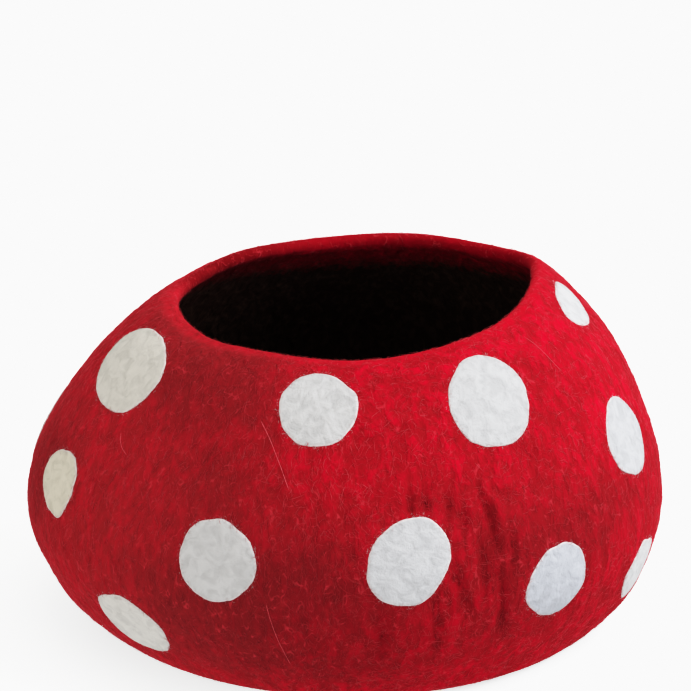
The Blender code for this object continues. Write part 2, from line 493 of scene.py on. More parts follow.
        # Painted shadow over the lip's left end.
        left_end_shadow = sheet.times(sheet.ease(across, -0.08, -0.01, 0.70, 0.0),
                               sheet.ease(along, -0.01, 0.03), sheet.ease(past, -8 * MM, -2 * MM))
        # Painted shade on the lip's turn to the inside, except at the back.
        turn = sheet.times(sheet.ease(past, 2 * MM, 15 * MM, 0.0, 0.65),
                           sheet.ease(back, 0.0, 1.0, 1.0, 0.0))
        # Duller toward the left: partly the wool's tone and partly painted shade.
        return [(sheet.ease(across, -0.15, 0.02, 0.30, 0.0), self.dull_and_shade),
                (crest, self.shade), (left_end_shadow, self.shade), (turn, self.shade)]

    def surface_layers(self, sheet: NodeSheet, lines: Socket) -> list[Layer]:
        """Lay the haze of fine hairs, the lying fibres and painted shade in the creases and pits on
        top.

        Args:
            sheet: The material's nodes.
            lines: The lines of the lying fibres.

        Returns:
            The shares and colours to lay over the shaded wool, in order.
        """
        fuzz = sheet.noise(sheet.place, 8 * MM, detail=6.0, rough=0.78)
        film = sheet.times(sheet.ease(fuzz, 0.50, 0.72, 0.0, 0.30),
                           sheet.ease(sheet.across("X"), -0.02, 0.12, 1.0, 0.35))
        # The last layer is painted shade in the creases and pits.
        return [(film, self.haze), (sheet.times(lines, 0.45), self.pale),
                (sheet.times(sheet.attribute("crease_shade"), 0.65), self.shade)]

    def dark_share(self, sheet: NodeSheet, past: Socket) -> Socket:
        """Work out where the red gives way to the dark wool, with a streaky edge.

        Args:
            sheet: The material's nodes.
            past: The distance past the lip's tip.

        Returns:
            The dark wool's share, from 0 to 1.
        """
        streaks = sheet.noise(sheet.place, 4 * MM, detail=4.0, rough=0.7)
        stray = sheet.times(sheet.math("SUBTRACT", streaks, 0.5), 30 * MM)
        return sheet.ease(sheet.math("ADD", past, stray), self.margin, self.margin_end)

    def dark_wool(self, sheet: NodeSheet, mottle: Socket) -> Socket:
        """The uneven brown-black of the inside."""
        return sheet.blend(sheet.ease(mottle, 0.4, 0.8), self.inside, self.inside_light)


@dataclass(frozen=True)
class WhiteWool:
    """Off-white felt of the dots, with a thin pale pink rim at the cut edge: partly red wool
    blushing in and partly painted highlight where the edge catches the light.
    """

    light: Colour = (0.635, 0.635, 0.640, 1.0)
    # Warm and cool whites: partly the felts' own tints and partly painted light colour, warm on the
    # side of the warm lamp at the left and cool on the right.
    cream: Colour = (0.660, 0.620, 0.515, 1.0)
    cool: Colour = (0.575, 0.598, 0.660, 1.0)
    # The rim is brighter than the dot itself: partly red wool blushing into the white and partly
    # painted highlight.
    rim: Colour = (0.880, 0.760, 0.760, 1.0)

    def material(self) -> bpy.types.Material:
        """Make the finish of the felt dots.

        Returns:
            The material, which reads warmth, lightness and to_edge from the mesh.
        """
        sheet = NodeSheet("white_wool")
        wisps = sheet.noise(sheet.place, 8 * MM, twist=0.9)
        grain = sheet.noise(sheet.place, 1.2 * MM, detail=2.5, rough=0.7)
        folds = sheet.curl(sheet.place, 11 * MM, 0.17)
        warmth = sheet.attribute("warmth")
        colour = sheet.blend(sheet.ease(warmth, 0.0, 1.0), self.light, self.cream)
        colour = sheet.blend(sheet.ease(warmth, -1.0, 0.0, 1.0, 0.0), colour, self.cool)
        # Greyer in the wisps and a little darker along the folds: partly uneven felt and partly
        # painted shade in the folds.
        depth = sheet.math("ADD", sheet.ease(wisps, 0.30, 0.62, 0.86, 1.02),
                           sheet.times(folds, -0.03))
        # The dot's lightness, partly painted light and shade, scales its grey.
        shade = sheet.grey(sheet.times(depth, sheet.attribute("lightness")))
        colour = sheet.blend(1.0, colour, shade, "MULTIPLY")
        # Painted highlight, partly red wool, along the cut edge.
        rim = sheet.ease(sheet.attribute("to_edge"), 0.3 * MM, 1.4 * MM, 0.7, 0.0)
        colour = sheet.blend(rim, colour, self.rim)
        sheet.raise_grain([(wisps, 0.75 * MM), (folds, -0.2 * MM), (grain, 0.35 * MM)])
        return sheet.set_cloth(colour, 0.95, 0.04, WHITE)


@dataclass(frozen=True)
class StrandWool:
    """Loose strands of one colour of wool, from dull to pale strands."""

    name: str
    dull: Colour
    pale: Colour
    deepest_and_shaded: Colour

    def material(self) -> bpy.types.Material:
        """Make the finish of a piece of loose strands.

        Returns:
            The material, which reads paleness and vividness from the mesh.
        """
        sheet = NodeSheet(self.name)
        uneven = sheet.ease(sheet.noise(sheet.place, 3 * MM, detail=1.0), 0.3, 0.7, -0.12, 0.12)
        share = sheet.math("ADD", sheet.attribute("paleness"), uneven)
        # Strands darken where the felt's patches are deep, which is partly painted shade.
        deep = sheet.ease(sheet.attribute("tone_and_light"), -1.0, 0.1, 0.75, 0.0)
        colour = sheet.blend(deep, sheet.blend(share, self.dull, self.pale), self.deepest_and_shaded)
        return sheet.set_cloth(colour, 0.9, 0.03, self.pale, specular=0.08)


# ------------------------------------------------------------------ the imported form
@dataclass
class SmoothForm:
    """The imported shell's form, rounded between its facets, which the pieces are measured from."""

    node: str = "felt_shell"
    levels: int = 2
    opening: str = "nest"
    middle: Vector = field(init=False)
    tree: BVHTree = field(init=False)

    def __post_init__(self) -> None:
        """Find the hollow's middle and round the form."""
        boxes = {entry["name"]: entry["box_m"] for entry in frame["record"]["physics"]["openings"]}
        low, high = (Vector(corner) for corner in boxes[self.opening])
        self.middle = (low + high) / 2.0
        self.tree = self.rounded_tree()

    def rounded_tree(self) -> BVHTree:
        """Round a merged and subdivided copy of the node.

        Returns:
            A search tree over the copy, which is taken away again.
        """
        copy = bpy.data.objects.new("form", frame["nodes"][self.node].data.copy())
        bpy.context.scene.collection.objects.link(copy)
        bpy.ops.object.select_all(action="DESELECT")
        copy.select_set(True)
        bpy.context.view_layer.objects.active = copy
        bpy.ops.object.mode_set(mode="EDIT")
        bpy.ops.mesh.select_all(action="SELECT")
        bpy.ops.mesh.remove_doubles(threshold=0.01 * MM)
        bpy.ops.mesh.tris_convert_to_quads(face_threshold=math.radians(40.0),
                                           shape_threshold=math.radians(50.0))
        bpy.ops.object.mode_set(mode="OBJECT")
        rounding = copy.modifiers.new("rounding", "SUBSURF")
        rounding.levels = rounding.render_levels = self.levels
        bpy.ops.object.modifier_apply(modifier=rounding.name)
        tree = tree_of(copy)
        bpy.data.objects.remove(copy, do_unlink=True)
        return tree

    def heading(self, azimuth: float, elevation: float) -> Vector:
        """The direction from the hollow's middle at two angles in radians."""
        level = math.cos(elevation)
        return Vector((level * math.cos(azimuth), level * math.sin(azimuth), math.sin(elevation)))

    def through_wall(self, azimuth: float, elevation: float) -> tuple[Vector, Vector]:
        """Follow a line from the hollow's middle out through the wall.

        Args:
            azimuth: The line's direction round the middle, in radians.
            elevation: The line's rise, in radians.

        Returns:
            Where it passes the inner and the outer surface.
        """
        direction = self.heading(azimuth, elevation)
        inner = self.tree.ray_cast(self.middle, direction)[0]
        outer = self.tree.ray_cast(inner + direction * (0.5 * MM), direction)[0]
        return inner, outer


# ------------------------------------------------------------------ felt dots, as places
# How far the scissors strayed from an even round, in millimetres outwards at every 30 degrees,
# counter-clockwise from the dot's right. The dots round the back have only small slips.
SNIPS: dict[str, tuple[float, ...]] = {
    "dot_01": (-1.8, -1.2, -2.5, -1.0, 3.0, 4.5, 6.5, 4.3, 2.0, 0.8, -1.3, -2.5),
    "dot_02": (1.3, 1.0, 1.0, 2.8, 2.5, 1.3, 1.0, 1.8, 1.0, 0.0, 0.0, 0.3),
    "dot_03": (2.2, 3.0, 3.5, 1.3, -0.3, -0.7, 0.5, 0.5, -1.0, 0.3, 2.5, 2.6),
    "dot_04": (-0.7, 1.0, 0.0, -0.8, -1.3, 1.2, 2.5, 0.3, 1.0, 1.5, 4.5, -0.5),
    "dot_05": (-0.7, -0.3, -1.0, 1.5, 0.0, 0.8, 1.0, 1.3, 1.6, 0.0, 0.0, -0.7),
    "dot_06": (0.8, 0.4, 0.6, 1.0, 0.3, 0.3, 0.4, 1.6, 1.5, 1.0, 1.2, 0.4),
    "dot_07": (6.5, 4.0, 3.5, 0.5, -2.0, -3.3, -1.3, -1.6, -2.5, 0.5, 4.5, 6.0),
    "dot_08": (-1.5, -1.8, -3.3, -4.2, -3.2, -2.8, 0.0, 0.0, 0.0, -0.5, -0.8, -2.5),
    "dot_09": (3.8, 3.2, 0.6, -1.5, -3.5, -2.7, -1.8, -0.8, -0.4, 3.5, 6.3, 5.0),
    "dot_10": (-0.7, -1.5, -2.0, -2.0, -2.5, 0.0, 2.0, 2.3, 4.0, 2.5, 2.0, 1.3),
    "dot_11": (0.0, -1.0, -6.0, -5.0, -6.0, -6.0, -5.0, -5.5, -4.5, -1.0, 0.0, 0.0),
}


@dataclass
class DotPlace:
    """Where one felt dot lies and how far its cut edge reaches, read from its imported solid."""

    name: str
    middle: Array
    out: Array
    level: Array
    upright: Array
    turns: Array
    reaches: Array
    thickness: float = 15 * MM         # how far off its plane the felt still counts as the dot's

    @classmethod
    def read(cls, name: str, form: SmoothForm) -> "DotPlace":
        """Measure a dot's solid.

        Args:
            name: The dot's node.
            form: The shell that it lies on.

        Returns:
            The dot's place, with its edge's reach at each turn round its middle.
        """
        corner_steps, grid_steps, smoothings = 24, 72, 2
        corners = read_values(frame["nodes"][name].data.vertices, "co", 3)
        low, high = (np.array(corner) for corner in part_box(name))
        (middle,), (out,) = nearest(form.tree, np.array([(low + high) / 2.0]))
        level, upright = upright_frame(out)
        flat = np.stack([(corners - middle) @ level, (corners - middle) @ upright], axis=1)
        edge = flat[geometry.convex_hull_2d(flat.tolist())]
        steps = np.linspace(0.0, 1.0, corner_steps, endpoint=False)[:, None]
        sides = zip(edge, np.roll(edge, -1, axis=0))
        edge = np.vstack([start + (end - start) * steps for start, end in sides])
        turns, reaches = np.arctan2(edge[:, 1], edge[:, 0]), np.hypot(edge[:, 0], edge[:, 1])
        grid = np.linspace(-math.pi, math.pi, grid_steps, endpoint=False)
        reaches = np.interp(grid, turns, reaches, period=TURN)
        slips = np.array(SNIPS.get(name, (0.0,))) * MM
        slip_turns = np.linspace(0.0, TURN, len(slips), endpoint=False)
        reaches = reaches + np.interp(grid % TURN, slip_turns, slips, period=TURN)
        for _ in range(smoothings):
            reaches = (np.roll(reaches, 1) + 2.0 * reaches + np.roll(reaches, -1)) / 4.0
        return cls(name, middle, out, level, upright, grid, reaches)

    def reach(self, turns: Array) -> Array:
        """How far the edge reaches at each turn."""
        return np.interp(turns, self.turns, self.reaches, period=TURN)

    def past_edge(self, points: Array) -> Array:
        """Measure points against the cut edge.

        Args:
            points: Places on the felt.

        Returns:
            How far each lies outside the edge, less than nought under the dot.
        """
        offset = points - self.middle
        across, up = offset @ self.level, offset @ self.upright
        distance = np.hypot(across, up) - self.reach(np.arctan2(up, across))
        return np.where(np.abs(offset @ self.out) < self.thickness, distance, 1.0)

    def on_form(self, across: Array, up: Array, form: SmoothForm) -> tuple[Array, Array]:
        """Find the shell's surface under the dot.

        Args:
            across: How far the places lie from the dot's middle round the wall.
            up: How far they lie from it up the wall.
            form: The shell.

        Returns:
            The surface's places and its outward directions there.
        """
        starts = self.middle + np.outer(across, self.level) + np.outer(up, self.upright)
        starts, down = starts + self.out * (2.0 * self.thickness), Vector(-self.out)
        hits = [form.tree.ray_cast(start, down)[:2] for start in starts.tolist()]
        return np.array([place for place, _ in hits]), np.array([out for _, out in hits])


# ------------------------------------------------------------------ the felt shell
@dataclass(frozen=True)
class Crease:
    """A soft trough pressed into the felt, from its upper to its lower end."""

    azimuth: float
    height: float
    foot_azimuth: float
    foot_height: float
    depth: float
    width: float
    pits: int = 0


@dataclass(frozen=True)
class Patch:
    """A soft patch where the red is deeper, less than nought, or brighter than elsewhere: partly
    the wool's own uneven tone and partly painted shade and light.
    """

    azimuth: float
    height: float
    across: float
    up: float
    strength: float


@dataclass
class FeltShell:
    """The seamless felt wall, from its flat base over the lip to the inside."""

    form: SmoothForm
    dots: list[DotPlace]
    around: int = 528
    base_rings: int = 8
    wall_rings: int = 136
    lip_rings: int = 7
    inner_rings: int = 24
    floor_rings: int = 5
    base_reach: float = 0.130          # radius up to which the base's rings are flat
    lip_radius: float = 4.5 * MM
    flat_size: float = 0.630           # the round of felt that such a ball lies flat to
    swells: tuple[Swell, ...] = (Swell(0.7 * MM, 42 * MM, 1.0), Swell(0.35 * MM, 15 * MM, 5.0))
    pebble: Swell = Swell(0.50 * MM, 7.5 * MM, 9.0, tall=1.9)
    inner_rough: float = 1.6           # how many times more uneven the inside is
    dot_bed: float = 0.75 * MM         # how deep a dot presses its bed in
    pit_depth: float = 0.9 * MM
    pit_radius: float = 2.2 * MM
    # Painted shade in the creases and pits grows with a crease's depth and is full at this depth.
    full_crease_shade: float = 1.8 * MM      # the depth of a crease that is shaded in full
    creases: tuple[Crease, ...] = (
        Crease(280.6, 0.138, 280.4, 0.126, 1.0 * MM, 3.0 * MM, 2),
        Crease(283.5, 0.137, 283.5, 0.128, 0.9 * MM, 3.0 * MM, 1),
        Crease(288.0, 0.134, 287.9, 0.124, 0.9 * MM, 3.0 * MM, 1),
        Crease(290.9, 0.127, 290.8, 0.116, 0.9 * MM, 3.0 * MM, 2),
        Crease(294.6, 0.137, 294.6, 0.128, 1.0 * MM, 2.6 * MM, 1),
        Crease(295.6, 0.125, 297.1, 0.102, 1.8 * MM, 4.0 * MM, 3),
        Crease(294.0, 0.104, 294.2, 0.076, 1.2 * MM, 4.5 * MM, 2),
        Crease(300.2, 0.107, 299.9, 0.087, 1.1 * MM, 3.5 * MM, 2),
        Crease(297.3, 0.088, 298.2, 0.054, 1.6 * MM, 4.0 * MM, 4),
        Crease(288.8, 0.089, 290.6, 0.067, 1.1 * MM, 4.0 * MM, 2),
        Crease(284.6, 0.079, 285.2, 0.047, 1.2 * MM, 4.5 * MM, 3),
        Crease(274.7, 0.066, 275.0, 0.043, 0.9 * MM, 4.5 * MM, 1),
        Crease(286.4, 0.079, 287.6, 0.066, 0.8 * MM, 3.5 * MM, 1),
        Crease(287.7, 0.101, 288.5, 0.074, 0.9 * MM, 4.5 * MM, 1),
    )
    # Deeper and brighter patches of red: partly uneven wool and partly painted light, deeper at the
    # left edge and low on the front, where less light falls, and brighter at the upper right, where
    # most falls.
    patches: tuple[Patch, ...] = (
        Patch(226.0, 0.190, 0.045, 0.035, -0.75),
        Patch(200.0, 0.212, 0.035, 0.016, -0.80),
        Patch(246.0, 0.188, 0.025, 0.022, -0.40),
        Patch(250.0, 0.075, 0.060, 0.030, -0.85),
        Patch(225.0, 0.080, 0.050, 0.030, -0.35),
        Patch(258.0, 0.028, 0.130, 0.022, -0.60),
        Patch(273.0, 0.076, 0.040, 0.026, -0.45),
        Patch(242.0, 0.142, 0.040, 0.026, -0.30),
        Patch(268.0, 0.122, 0.220, 0.028, -0.38),
        Patch(254.0, 0.168, 0.028, 0.020, -0.25),
        Patch(296.0, 0.088, 0.040, 0.030, -0.42),
        Patch(262.0, 0.100, 0.025, 0.016, -0.35),
        Patch(240.0, 0.055, 0.050, 0.020, -0.35),
        Patch(314.0, 0.090, 0.040, 0.020, -0.35),
        Patch(306.0, 0.052, 0.070, 0.024, -0.40),
        Patch(332.0, 0.104, 0.080, 0.028, -0.38),
        Patch(196.0, 0.105, 0.040, 0.045, -0.75),
        Patch(342.0, 0.185, 0.050, 0.040, 0.95),
        Patch(336.0, 0.152, 0.035, 0.025, 0.50),
        Patch(298.0, 0.024, 0.070, 0.018, 0.30),
        Patch(273.0, 0.172, 0.030, 0.032, 0.40),
        Patch(292.0, 0.203, 0.050, 0.014, 0.60),
        Patch(95.0, 0.130, 0.060, 0.040, 0.40),
        Patch(140.0, 0.080, 0.050, 0.030, -0.60),
        Patch(55.0, 0.085, 0.055, 0.030, -0.45),
    )

    def build(self) -> bpy.types.Object:
        """Returns:
            The finished shell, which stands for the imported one.
        """
        azimuths = np.linspace(0.0, TURN, self.around, endpoint=False)
        rings = np.stack([self.profile(azimuth) for azimuth in azimuths], axis=1)
        points, faces = close_rings(rings, [rings[0].mean(axis=0), rings[-1].mean(axis=0)])
        shell = make_piece("shell_felt", points, faces, RedWool().material())
        past_lip = self.distance_past_lip(rings)
        crease_shade = self.press_relief(shell.data, past_lip)
        write_attribute(shell.data, "past_lip", past_lip)
        write_attribute(shell.data, "crease_shade", crease_shade)
        write_attribute(shell.data, "tone_and_light", self.tone_and_light(points))
        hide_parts("felt_shell")
        return shell

    def profile(self, azimuth: float) -> Array:
        """Trace the wall in the upright plane at one azimuth, from the base over the lip inside.

        Args:
            azimuth: The plane's direction from the hollow's middle, in radians.

        Returns:
            One point for each ring, in order.
        """
        height = self.form.middle.z
        heel = -math.atan2(height, self.base_reach)
        top = self.lip_elevation(azimuth)
        reaches = np.linspace(0.0, self.base_reach, self.base_rings + 1)[1:-1]
        base = [-math.atan2(height, reach) for reach in reaches]
        wall = np.linspace(heel, top, self.wall_rings).tolist()
        inner = np.linspace(top, heel, self.inner_rings).tolist()
        reaches = np.linspace(self.base_reach, 0.0, self.floor_rings + 1)[1:-1]
        floor = [-math.atan2(height, reach) for reach in reaches]
        outside = [self.form.through_wall(azimuth, angle)[1] for angle in base + wall]
        inside = [self.form.through_wall(azimuth, angle)[0] for angle in inner + floor]
        lip = self.lip_points(outside[-1], inside[0], self.form.heading(azimuth, top))
        return np.array([*outside, *lip, *inside])

    def lip_elevation(self, azimuth: float) -> float:
        """Find where the wall's full thickness ends, just below the lip's tip.

        Args:
            azimuth: The direction from the hollow's middle, in radians.

        Returns:
            The elevation there, in radians.
        """
        low, high, halvings = math.radians(20.0), math.radians(80.0), 22
        for _ in range(halvings):
            between = (low + high) / 2.0
            heading = self.form.heading(azimuth, between)
            if self.form.tree.ray_cast(self.form.middle, heading)[0] is None:
                high = between
            else:
                low = between
        tip = self.form.through_wall(azimuth, low - math.radians(0.2))[0]
        return low - self.lip_radius / (tip - self.form.middle).length

    def lip_points(self, outer: Vector, inner: Vector, heading: Vector) -> list[Vector]:
        """Trace the half-round lip.

        Args:
            outer: Where it starts on the outside.
            inner: Where it ends on the inside.
            heading: The direction of both from the hollow's middle.

        Returns:
            The points between the two.
        """
        centre = (outer + inner) / 2.0
        across = (outer - inner).normalized()
        side = Vector((-heading.y, heading.x, 0.0)).normalized()
        onward = across.cross(side)
        onward = onward if onward.z > 0.0 else -onward
        points = []
        for step in range(1, self.lip_rings + 1):
            turn = math.pi * step / (self.lip_rings + 1)
            toward = across * math.cos(turn) + onward * math.sin(turn)
            hit = self.form.tree.ray_cast(centre, toward)[0]
            points.append(hit if hit is not None else centre + toward * self.lip_radius)
        return points

    def distance_past_lip(self, rings: Array) -> Array:
        """Measure along the wall from the lip's tip.

        Args:
            rings: The rings of points.

        Returns:
            Each point's distance, less than nought outside, and the two poles' distances.
        """
        steps = np.linalg.norm(np.diff(rings, axis=0), axis=-1)
        run = np.vstack([np.zeros(self.around), np.cumsum(steps, axis=0)])
        tip = self.base_rings - 1 + self.wall_rings + self.lip_rings // 2
        distance = (run - run[tip]).ravel()
        return np.append(distance, [distance.min(), distance.max()])

    def press_relief(self, mesh: bpy.types.Mesh, past_lip: Array) -> Array:
        """Move the mesh's points out and in, as hand-felted wool is uneven.

        Args:
            mesh: The shell's mesh, moved in place.
            past_lip: How far each point lies past the lip's tip.

        Returns:
            How much painted shade each point gets in the creases and pits, from 0 to 1.
        """
        points, normals = (read_values(mesh.vertices, key, 3) for key in ("co", "normal"))
        swell = sum(each.at(points) for each in self.swells)
        outside = past_lip < 0.0
        calm = fade(np.abs(past_lip), 4 * MM, 16 * MM)
        depth, crease_shade = self.crease_depths(points, outside)
        rise = swell * (0.5 + 0.5 * calm) + self.pebble.at(points) * (0.25 + 0.75 * calm) - depth
        past = np.min([dot.past_edge(points) for dot in self.dots], axis=0)
        clear = np.where(outside, fade(past, -1.5 * MM, 5.0 * MM), 1.0)
        bed = np.where(outside, 1.0 - fade(past, -2.8 * MM, -0.1 * MM), 0.0)
        rise = rise * clear - bed * self.dot_bed
        low = fade(points[:, 2], 1 * MM, 14 * MM)
        rise = np.where(outside, rise * low, rise * self.inner_rough)
        mesh.vertices.foreach_set("co", (points + normals * rise[:, None]).ravel())
        mesh.update()
        return crease_shade * clear

    def around_middle(self, points: Array) -> tuple[Array, Array]:
        """Measure points round the upright through the hollow's middle.

        Args:
            points: The places.

        Returns:
            Their azimuths, in degrees, and their distances from the upright.
        """
        offset = points - np.array(self.form.middle)
        azimuth = np.degrees(np.arctan2(offset[:, 1], offset[:, 0])) % 360.0
        return azimuth, np.hypot(offset[:, 0], offset[:, 1])

    def tone_and_light(self, points: Array) -> Array:
        """Add the patches up.

        Args:
            points: Places on the felt.

        Returns:
            How much deeper or brighter the red is at each, from -1 to 1: partly the wool's own tone
            and partly painted shade and light.
        """
        azimuth, radius = self.around_middle(points)
        total = np.zeros(len(points))
        for patch in self.patches:
            aside = round_wall(azimuth, patch.azimuth, radius)
            share = (aside / patch.across) ** 2 + ((points[:, 2] - patch.height) / patch.up) ** 2
            total += patch.strength * np.exp(-share)
        return np.clip(total, -1.0, 1.0)

    def crease_depths(self, points: Array, outside: Array) -> tuple[Array, Array]:
        """Add the creases up, with the pits along them.

        Args:
            points: Places on the felt.
            outside: True for each place on the outside.

        Returns:
            How deep the felt is pressed in at each place, and how much painted shade it gets in the
            creases and pits, from 0 to 1.
        """
        azimuth, radius = self.around_middle(points)
        depth, crease_shade = np.zeros(len(points)), np.zeros(len(points))
        for crease in self.creases:
            run = crease.height - crease.foot_height
            share = (crease.height - points[:, 2]) / run
            held = np.clip(share, 0.0, 1.0)
            line = crease.azimuth + (crease.foot_azimuth - crease.azimuth) * held
            aside = round_wall(azimuth, line, radius)
            beyond = np.abs(share - held) * run
            across = (aside / crease.width) ** 2 + (beyond / (1.6 * crease.width)) ** 2
            trough = np.exp(-across) * outside
            depth += crease.depth * trough
            crease_shade = np.maximum(crease_shade, trough * crease.depth / self.full_crease_shade)
            for pit in range(crease.pits):
                height = crease.height - run * (pit + 0.5) / crease.pits
                close = (aside ** 2 + (points[:, 2] - height) ** 2) / self.pit_radius ** 2
                hollow = np.exp(-close) * outside
                depth += self.pit_depth * hollow
                crease_shade = np.maximum(crease_shade, hollow)
        return depth, np.clip(crease_shade, 0.0, 1.0)


# ------------------------------------------------------------------ the felt dots
@dataclass
class FeltDots:
    """The thin hand-cut felt dots, pressed into the wall."""

    form: SmoothForm
    places: list[DotPlace]
    shell: bpy.types.Object
    around: int = 108
    top_rings: int = 15
    under_rings: int = 3
    top_lift: float = 0.45 * MM         # the top's height over the wall's own curve
    under_lift: float = -0.65 * MM
    edge_round: float = 1.8 * MM        # how far in from the edge the top rounds down
    edge_slope: float = 4 * MM          # how far in from the edge the top is as uneven as the rest
    inward: float = 1.35                # how much closer the top's rings stand near the edge
    under_share: float = 0.985          # the underside's reach, as a share of the edge's
    relief: tuple[Swell, ...] = (Swell(0.32 * MM, 13 * MM, 21.0), Swell(0.18 * MM, 4.5 * MM, 33.0))
    # Each dot's warmth and lightness are partly its felt's own and partly painted light: the cast
    # of the light on its side, and lighter or darker as more or less light falls on it.
    warmth: dict[str, float] = field(default_factory=lambda: {
        "dot_01": 0.55, "dot_02": 0.05, "dot_03": -0.25, "dot_04": 1.0, "dot_05": 0.10,
        "dot_06": -0.35, "dot_07": -0.45, "dot_08": -0.30, "dot_09": -0.80, "dot_10": 0.40,
        "dot_11": -0.20})
    lightness: dict[str, float] = field(default_factory=lambda: {
        "dot_01": 1.06, "dot_02": 0.97, "dot_03": 0.94, "dot_04": 1.06, "dot_06": 1.02,
        "dot_07": 0.94, "dot_09": 0.95, "dot_10": 1.12, "dot_11": 1.08})

    def build(self) -> list[bpy.types.Object]:
        """Make every dot, with its finish.

        Returns:
            The dots, in the order of their nodes.
        """
        material = WhiteWool().material()
        return [self.dot(place, number, material) for number, place in enumerate(self.places)]

    def dot(self, place: DotPlace, number: int, material: bpy.types.Material) -> bpy.types.Object:
        """Make one dot.

        Args:
            place: Where it lies and how far it reaches.
            number: Its place in the row of dots, which sets the pattern of its ragged edge.
            material: The finish that it wears.

        Returns:
            The finished dot, which stands for its node.
        """
        turns = np.linspace(0.0, TURN, self.around, endpoint=False)
        reach = place.reach(turns)
        level = np.full_like(turns, number * MM)
        rim = np.stack([reach * np.cos(turns), reach * np.sin(turns), level], axis=1)
        cuts = (Swell(0.45 * MM, 6 * MM, number * 3.1), Swell(0.25 * MM, 2.6 * MM, number * 5.3))
        for cut in cuts:
            reach = reach + cut.at(rim)
        inward = 1.0 - (1.0 - np.linspace(0.0, 1.0, self.top_rings + 1)[1:-1]) ** self.inward
        under = np.linspace(0.0, self.under_share, self.under_rings + 1)[1:]
        shares = [*under, 1.0, *inward[::-1]]
        lifts = [self.under_lift] * self.under_rings + [0.0] + [None] * len(inward)
        rings, to_edge = [], []
        for share, lift in zip(shares, lifts):
            across, up = reach * share * np.cos(turns), reach * share * np.sin(turns)
            surface, out = place.on_form(across, up, self.form)
            inset = reach * (1.0 - share)
            if lift is None:
                rounding = np.sqrt(1.0 - (1.0 - np.clip(inset / self.edge_round, 0.0, 1.0)) ** 2)
                lift = self.top_lift * (0.1 + 0.9 * rounding)
                lift = lift + self.unevenness(surface) * fade(inset, 0.0, self.edge_slope)
            rings.append(surface + out * np.broadcast_to(lift, reach.shape)[:, None])
            to_edge.append(inset)
        return self.close(place, rings, to_edge, material)

    def unevenness(self, points: Array) -> Array:
        """How far the top of a dot stands out and in, as thin felt over uneven wool."""
        return sum(swell.at(points) for swell in self.relief)

    def close(self, place: DotPlace, rings: list[Array], to_edge: list[Array],
              material: bpy.types.Material) -> bpy.types.Object:
        """Close a dot's rings into a thin sheet.

        Args:
            place: Where the dot lies.
            rings: Its points, from the underside's middle over the edge to the top's middle.
            to_edge: How far in from the edge each of them lies.
            material: The finish that it wears.

        Returns:
            The finished dot.
        """
        middle, out = place.on_form(np.zeros(1), np.zeros(1), self.form)
        under = middle[0] + out[0] * self.under_lift
        over = middle[0] + out[0] * (self.top_lift + self.unevenness(middle)[0])
        points, faces = close_rings(np.stack(rings), [under, over])
        name = place.name.replace("dot", "felt_dot")
        piece = make_piece(name, points, faces, material)
        inmost = 20 * MM
        write_attribute(piece.data, "to_edge", np.append(np.concatenate(to_edge), [inmost, inmost]))
        own_warmth = float(waves(np.array([place.middle]), 90 * MM, 3.0)[0])
        looks = {"warmth": self.warmth.get(place.name, own_warmth),
                 "lightness": self.lightness.get(place.name, 1.0)}
        for key, value in looks.items():
            write_attribute(piece.data, key, np.full(len(points), value))
        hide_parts(place.name)
        return piece


# ------------------------------------------------------------------ loose wool
class Lie(Enum):
    """Which way a piece's strands lie on the felt."""

    ANY = "any way"
    UPWARD = "mostly up the wall"


@dataclass
class Tuft:
    """One piece of loose strands: where they grow, how long they are and how they lie."""

    name: str
    finish: StrandWool
    slot: Slot
    count: int
    length: tuple[float, float] = (0.0, 0.0)     # from and to, in millimetres
    girth: float = 0.0
    rise: tuple[float, float] = (0.0, 0.0)       # how far they stand off, in millimetres
    seed: int = 0
    lie: Lie = Lie.ANY
    curl: float = 1.4
    # The deep patches that a strand's colour follows are partly painted shade.
    follows: bool = True                         # its colour follows the felt's deep patches


@dataclass(frozen=True)
class Stray:
    """One long single fibre on the outside, from its upper to its lower end."""

    azimuth: float
    height: float
    foot_azimuth: float
    foot_height: float
    bow: float

    def path(self, tree: BVHTree, middle: Vector, steps: int) -> list[Vector]:
        """Lay the fibre on the outer surface.

        Args:
            tree: The surface.
            middle: The hollow's middle.
            steps: How many points the fibre has.

        Returns:
            The points along it.
        """
        well_outside, rise, sink = 0.4, 0.5 * MM, 0.05 * MM
        points = []
        for share in np.linspace(0.0, 1.0, steps):
            swing = math.sin(math.pi * share)
            azimuth = math.radians(self.azimuth + (self.foot_azimuth - self.azimuth) * share)
            height = self.height + (self.foot_height - self.height) * share + self.bow * swing
            level = Vector((math.cos(azimuth), math.sin(azimuth), 0.0))
            start = Vector((middle.x, middle.y, height)) + level * well_outside
            place, out = tree.ray_cast(start, -level)[:2]
            points.append(place + out * (rise * swing - sink))
        return points


